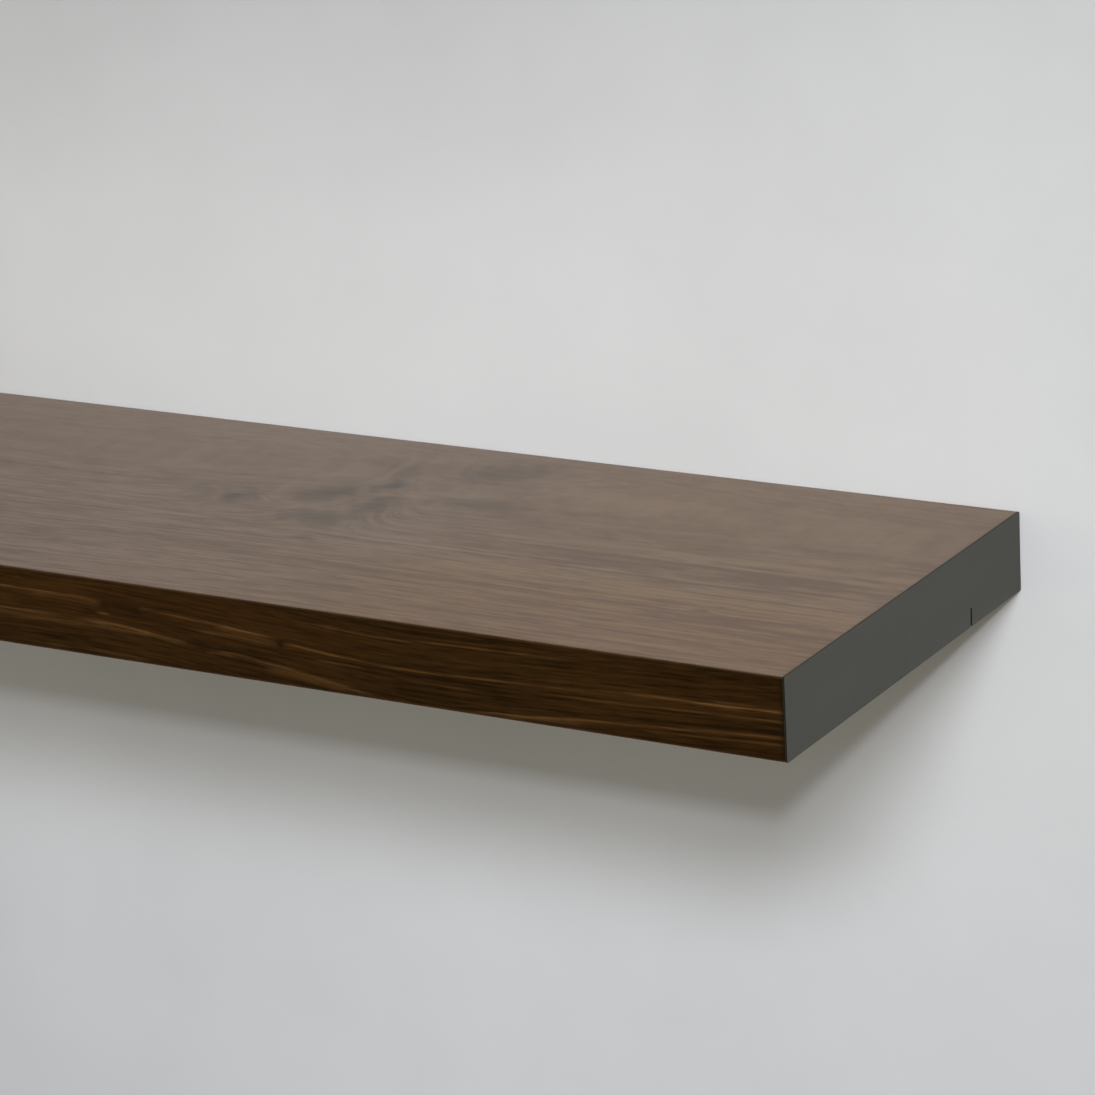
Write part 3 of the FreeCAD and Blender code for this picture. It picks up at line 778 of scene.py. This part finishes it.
PITCH_MM = 1.0
WOOD_PITCH_MM = 2.0
WOOD_THREAD_MM = 0.6
WOOD_ROOT_MM = 3.9
INSERT_BORE_MM = 3.1
INSERT_THREAD_MM = 0.37
INSERT_TURN_MM = 0.8
SPUN_COLUMNS = 72
BRASS = (0.70, 0.48, 0.19, 1)
BRASS_DULL = (0.42, 0.27, 0.11, 1)


def brass_finish(name):
    """Turned brass: fine lathe rings, with duller brown clouds where it has been handled."""
    brass, tree, shader = new_finish(name, {"Metallic": 1.0})
    turned = speckle(tree, (40, 40, 3000), 2)
    clouds = spread(tree, speckle(tree, (260, 260, 260), 5), 0.42, 0.68, 0, 1)
    colour = blend_colours(tree, clouds, BRASS, BRASS_DULL)
    tint(tree, shader, colour, spread(tree, clouds, 0, 1, 0.26, 0.5))
    emboss(tree, shader, turned, 0.02 * MM)
    return brass


def ridge(angle, height, pitch, depth):
    """How far a thread stands out at an angle and height: a ridge with straight flanks and a flat top
    that climbs by one pitch a turn."""
    share = (height / pitch - angle / (2 * math.pi)) % 1.0
    return depth * np.clip(1.35 - 2.7 * np.abs(share - 0.5), 0, 1)


def spun(name, centre, rows, round_again=False):
    """A closed skin spun round Z. Each row gives its radius, as a number or as a function of the angle,
    and its height. The ends are filled flat, or joined to each other if it goes round again."""
    angle = np.linspace(0, 2 * math.pi, SPUN_COLUMNS + 1)[:-1]
    flat_row = np.ones_like(angle)
    radii = np.array([radius(angle) if callable(radius) else radius * flat_row for radius, _ in rows])
    heights = np.array([height * flat_row for _, height in rows])
    points = np.stack([radii * np.cos(angle), radii * np.sin(angle), heights], axis=-1)
    return mesh_of_outlines(name, (points + np.array(centre)) * MM, round_again)


def threaded_rows(low, high, root, pitch, depth, apart=0.125):
    """Rows up a thread between two heights. Its ridge fades in and out over half a pitch."""
    def row(height):
        """The root at one height, with the thread standing out of it."""
        fade = min(1.0, 2 * (height - low) / pitch, 2 * (high - height) / pitch)
        return (lambda angle: root + ridge(angle, height, pitch, depth * max(fade, 0.0)), height)
    number = int(round((high - low) / apart))
    return [row(height) for height in np.linspace(low, high, number + 1)]


def insert_mesh(name, centre):
    """Up the outside by the flange and the wood thread, over the top, and down the M6 thread inside."""
    def inner_row(height):
        """The bore at one height, with the thread standing into it."""
        start = height + INSERT_TURN_MM
        return (lambda angle: INSERT_BORE_MM - ridge(angle, start, PITCH_MM, INSERT_THREAD_MM), height)
    rows = [(5.2, 0.0), (5.8, 0.0), (6.0, 0.2), (6.0, 0.85), (5.85, 1.0), (4.1, 1.0)]
    rows += [(WOOD_ROOT_MM, 1.2)]
    rows += threaded_rows(1.2, 9.6, WOOD_ROOT_MM, WOOD_PITCH_MM, WOOD_THREAD_MM, apart=0.2)
    rows += [(3.8, 10.0), (3.4, 10.0), (3.12, 9.7)]
    rows += [inner_row(height) for height in np.linspace(9.4, 0.6, 71)]
    rows += [(3.12, 0.4), (3.45, 0.0)]
    return spun(name, centre, rows, round_again=True)


brass = brass_finish("Turned brass")


def foot_of(node):
    """The middle of a turned solid's foot, in millimetres."""
    low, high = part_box(node)
    return ((low.x + high.x) / 2 / MM, (low.y + high.y) / 2 / MM, low.z / MM)


for side in ("left", "right"):
    node = "lock_insert_" + side
    fit("threaded_insert_" + side, insert_mesh(node, foot_of(node)), brass, "shelf", "brass", node)


# Lock screws and their pads ---------------------------------------------------------------------------
# Blackened M6 grub screws with a hexagonal socket below. A brass pad swivels by its stem in the top of
# each screw and presses on the rod, so that turning the screw doesn't score it.

SOCKET_FLATS_MM = 3.0
SOCKET_MOUTH_MM = 1.78
SCREW_ROOT_MM = 2.5
SCREW_THREAD_MM = 0.45
SCREW_BLACK = (0.030, 0.030, 0.034, 1)
SCREW_BARE = (0.16, 0.155, 0.15, 1)


def blackened_steel(name):
    """Oiled black oxide, rubbed to bare steel in small spots."""
    steel, tree, shader = new_finish(name, {"Metallic": 0.85})
    rubbed = spread(tree, speckle(tree, (500, 500, 500), 4), 0.58, 0.72, 0, 1)
    colour = blend_colours(tree, rubbed, SCREW_BLACK, SCREW_BARE)
    tint(tree, shader, colour, spread(tree, rubbed, 0, 1, 0.4, 0.28))
    emboss(tree, shader, speckle(tree, (1800, 1800, 1800), 3), 0.02 * MM)
    return steel


def hexagon(angle):
    """The distance from the middle of the socket to its six flats."""
    return SOCKET_FLATS_MM / 2 / np.cos((angle % (math.pi / 3)) - math.pi / 6)


def grub_screw(name, centre):
    """From the bottom of the socket down its six flats, out over the foot, up the thread and over the
    top into the blind hole for the pad's stem."""
    rows = [(0.25, 4.3), (1.40, 3.6), (hexagon, 3.5), (hexagon, 0.25)]
    rows += [(lambda angle: np.maximum(hexagon(angle), SOCKET_MOUTH_MM), 0.0), (2.45, 0.0)]
    rows += threaded_rows(0.15, 7.85, SCREW_ROOT_MM, PITCH_MM, SCREW_THREAD_MM)
    rows += [(2.3, 8.0), (1.2, 8.0), (1.08, 7.9), (1.08, 5.8), (0.25, 5.6)]
    return spun(name, centre, rows)


def swivel_pad(name, centre):
    """A stem with a rounded foot under a slightly domed disc with broken edges."""
    rows = [(0.3, 0.0), (0.85, 0.05), (1.0, 0.25), (1.0, 2.0), (2.2, 2.0), (2.4, 2.15)]
    rows += [(2.4, 3.25), (2.25, 3.4), (1.4, 3.47), (0.4, 3.5)]
    return spun(name, centre, rows)


screw_steel = blackened_steel("Blackened screw steel")
for side in ("left", "right"):
    screw, pad = "lock_screw_" + side, "lock_pad_" + side
    screw_mesh, pad_mesh = grub_screw(screw, foot_of(screw)), swivel_pad(pad, foot_of(pad))
    fit("grub_screw_" + side, screw_mesh, screw_steel, screw, "dark_screw_steel", screw)
    fit("swivel_pad_" + side, pad_mesh, brass, pad, "brass", pad)


# End caps ---------------------------------------------------------------------------------------------
# Moulded plates of mid-grey plastic, 1 mm thick with three pegs behind, pushed into the end rails.
# Their edges are painted near-black as the shadow line of the joint with the board. A slit near the
# wall takes a hooked blade to pull the cap off.

CAP_GREY = (0.069, 0.071, 0.061, 1)
CAP_SHADE = (0.062, 0.063, 0.054, 1)
CAP_SCUFFED = (0.095, 0.095, 0.086, 1)
# Painted shade: the colour of the plates' edges, for the shadow line in the joint.
CAP_EDGE_PAINTED_SHADE = (0.012, 0.009, 0.005, 1)
CAP_PLATE_MM = 1.0


def moulded_grey(name, outer_face):
    """Moulded plastic: a fine spark texture, faint flow clouds and pale scuffs. outer_face is how far
    the plate's face lies from X = 0. The edge painted near-black as shade of the joint runs from just
    behind it almost to its back."""
    plastic, tree, shader = new_finish(name, {"Specular IOR Level": 0.28})
    grit = speckle(tree, (1900, 1900, 1900), 2)
    flow = spread(tree, speckle(tree, (20, 9, 40), 3), 0.35, 0.65, 0, 1)
    scuffs = spread(tree, speckle(tree, (300, 120, 300), 5, 0.7), 0.66, 0.80, 0, 0.5)
    colour = blend_colours(tree, flow, CAP_GREY, CAP_SHADE)
    colour = blend_colours(tree, scuffs, colour, CAP_SCUFFED)
    across = add(tree, "SeparateXYZ", {0: place_on(tree, (1, 1, 1))}).outputs["X"]
    behind = reckon(tree, "SUBTRACT", outer_face, reckon(tree, "ABSOLUTE", across))
    edge = reckon(tree, "MULTIPLY", spread(tree, behind, 0.12 * MM, 0.22 * MM, 0, 1),
                  spread(tree, behind, 0.92 * CAP_PLATE_MM * MM, 0.99 * CAP_PLATE_MM * MM, 1, 0))
    # Painted shade: the plate's edge near-black, for the shadow line in the joint with the board.
    colour = blend_colours(tree, edge, colour, CAP_EDGE_PAINTED_SHADE)
    tint(tree, shader, colour, spread(tree, grit, 0.2, 0.8, 0.52, 0.66))
    emboss(tree, shader, grit, 0.03 * MM)
    return plastic


cap_plastic = moulded_grey("Moulded grey plastic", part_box("end_cap_right")[1].x)
for side in ("left", "right"):
    dress(nodes["end_cap_" + side], cap_plastic)


# Room -------------------------------------------------------------------------------------------------
# A painted wall behind the shelf and a pale floor well below it. The wall's colour carries painted
# shade where the room light falls off, and a painted cool cast of light low down. Seen from behind or
# from below, wall and floor let the eye and the light through, so every side of the shelf can be looked
# at.

WALL_PAINT = (0.698, 0.705, 0.703, 1)
# Painted cool cast of the room light on the lower wall.
WALL_PAINT_COOL_LIGHT_LOW = (0.666, 0.678, 0.702, 1)
FLOOR_PAINT = (0.92, 0.915, 0.90, 1)
FLOOR_LEVEL = -0.95
WALL_BEHIND = 0.0003
WALL_SIDE, WALL_TOP = 6, 4
FLOOR_SIDE = 12


def one_sided_paint(name, colour, painted_cool_light_low):
    """Matt paint on the side that faces out, and nothing on the other side. Painted shade greys it a
    little upwards, more so to the left, and a little to the right, and a painted cool cast of light
    makes it a little cooler low down."""
    paint, tree, shader = new_finish(name, {"Roughness": 0.9, "Specular IOR Level": 0.1})
    clouds = speckle(tree, (7, 7, 7), 4)
    place = add(tree, "SeparateXYZ", {0: place_on(tree, (1, 1, 1))})
    across, up = place.outputs["X"], place.outputs["Z"]
    # Painted shade: darker upwards, most to the upper left, and towards the right, where the room light
    # falls off.
    leftwards = spread(tree, across, 0.12, 0.42, 1, 0)
    painted_shade_high_left = reckon(tree, "MULTIPLY", spread(tree, up, 0.13, 0.27, 0, 0.13), leftwards)
    shade = spread(tree, clouds, 0.3, 0.7, 0.0, 0.05)
    shade = reckon(tree, "ADD", shade, spread(tree, up, 0.02, 0.28, 0, 0.13))
    shade = reckon(tree, "ADD", shade, painted_shade_high_left)
    shade = reckon(tree, "ADD", shade, spread(tree, across, 0.10, 0.45, 0, 0.05))
    # Painted cool light low down.
    tinted = blend_colours(tree, spread(tree, up, -0.30, -0.08, 1, 0), colour, painted_cool_light_low)
    tinted = blend_colours(tree, shade, tinted, (0, 0, 0, 1))
    tree.links.new(tinted, shader.inputs["Base Color"])
    emboss(tree, shader, speckle(tree, (420, 420, 420), 3), 0.05 * MM)
    clear = add(tree, "BsdfTransparent", {})
    behind = add(tree, "NewGeometry", {}).outputs["Backfacing"]
    sides = add(tree, "MixShader", {0: behind, 1: shader.outputs[0], 2: clear.outputs[0]})
    tree.links.new(sides.outputs[0], tree.nodes["Material Output"].inputs["Surface"])
    return paint


def backdrop(name, corners, finish):
    """A plane through four corners, which isn't part of the shelf."""
    mesh = bpy.data.meshes.new(name)
    mesh.from_pydata(corners, [], [(0, 1, 2, 3)])
    plane = bpy.data.objects.new(name, mesh)
    bpy.context.scene.collection.objects.link(plane)
    dress(plane, finish)
    return plane


SQUARE_ROUND = ((-1, -1), (1, -1), (1, 1), (-1, 1))
wall_corners = [
    (across * WALL_SIDE, WALL_BEHIND, WALL_TOP if up > 0 else FLOOR_LEVEL)
    for across, up in SQUARE_ROUND
]
floor_corners = [(across * FLOOR_SIDE, deep * FLOOR_SIDE, FLOOR_LEVEL) for across, deep in SQUARE_ROUND]
wall = backdrop("wall", wall_corners, one_sided_paint("Wall paint", WALL_PAINT, WALL_PAINT_COOL_LIGHT_LOW))
wall.visible_shadow = False
wall.visible_diffuse = False
floor = backdrop("floor", floor_corners, one_sided_paint("Floor paint", FLOOR_PAINT, FLOOR_PAINT))
floor.visible_diffuse = False
floor.visible_glossy = False


# Light and camera -------------------------------------------------------------------------------------
# A small lamp and a broad soft one stand to the right, in front and above. The room gives plain light
# all round, most of it from the height of the eye. The camera looks at the right end from the front.

ROOM_LIGHT = (  # the sine of the height above the horizon, and the light that comes from there
    (-0.20, (0.160, 0.148, 0.120)),
    (-0.08, (0.64, 0.61, 0.535)),
    (0.40, (0.64, 0.61, 0.535)),
    (0.55, (0.34, 0.345, 0.350)),
)
LAMP_TINT = (0.975, 1.0, 1.06)
LAMP_AIM = np.array([0.22, 0.0, -0.04])
LAMPS = (  # name, place, size across, size up, power, spread in degrees
    ("small_lamp", (1.62, -2.45, 1.24), 0.10, 0.10, 20.0, 180),
    ("soft_lamp", (1.42, -2.40, 1.62), 1.10, 0.45, 5.5, 52),
)
CAMERA_PLACE = (1.1329, -1.6226, 0.5933)
CAMERA_YAW, CAMERA_PITCH, CAMERA_ROLL = (math.radians(a) for a in (31.326, 18.126, -3.321))
CAMERA_LENS_MM = 133.03


def standing_matrix(place, looking, up):
    """A lamp's or camera's place and turn: it looks along one direction with another upwards."""
    back = -np.array(looking) / np.linalg.norm(looking)
    right = np.cross(up, back)
    right /= np.linalg.norm(right)
    above = np.cross(back, right)
    rows = np.column_stack([right, above, back, place])
    return Matrix([*rows.tolist(), (0, 0, 0, 1)])


world = bpy.data.worlds.new("Room light")
bpy.context.scene.world = world
world.use_nodes = True
sky = world.node_tree
height = add(sky, "SeparateXYZ", {0: add(sky, "TexCoord", {}).outputs["Generated"]}).outputs["Z"]
glow = add(sky, "ValToRGB", {0: spread(sky, height, -1, 1, 0, 1)})
while len(glow.color_ramp.elements) < len(ROOM_LIGHT):
    glow.color_ramp.elements.new(0.5)
for stop, (sine, light) in zip(glow.color_ramp.elements, ROOM_LIGHT):
    stop.position = (sine + 1) / 2
    stop.color = (*light, 1)
sky.links.new(glow.outputs[0], sky.nodes["Background"].inputs["Color"])

for name, place, across, up, power, degrees in LAMPS:
    lamp_data = bpy.data.lights.new(name, "AREA")
    lamp_data.shape = "RECTANGLE"
    lamp_data.size = across
    lamp_data.size_y = up
    lamp_data.energy = power
    lamp_data.spread = math.radians(degrees)
    lamp_data.color = LAMP_TINT
    lamp = bpy.data.objects.new(name, lamp_data)
    bpy.context.scene.collection.objects.link(lamp)
    lamp.matrix_world = standing_matrix(place, LAMP_AIM - np.array(place), (0, 0, 1))
    lamp.visible_camera = False
    lamp.visible_glossy = False

level = np.array([-math.sin(CAMERA_YAW), math.cos(CAMERA_YAW), 0.0])
right = np.array([math.cos(CAMERA_YAW), math.sin(CAMERA_YAW), 0.0])
upright = np.array([0.0, 0.0, 1.0])
looking = level * math.cos(CAMERA_PITCH) - upright * math.sin(CAMERA_PITCH)
above = upright * math.cos(CAMERA_PITCH) + level * math.sin(CAMERA_PITCH)
camera_up = above * math.cos(CAMERA_ROLL) - right * math.sin(CAMERA_ROLL)
camera_data = bpy.data.cameras.new("camera")
camera_data.lens = CAMERA_LENS_MM
camera_data.sensor_width = 36
camera = bpy.data.objects.new("camera", camera_data)
bpy.context.scene.collection.objects.link(camera)
camera.matrix_world = standing_matrix(CAMERA_PLACE, looking, camera_up)
bpy.context.scene.camera = camera
bpy.context.scene.view_settings.view_transform = "Standard"
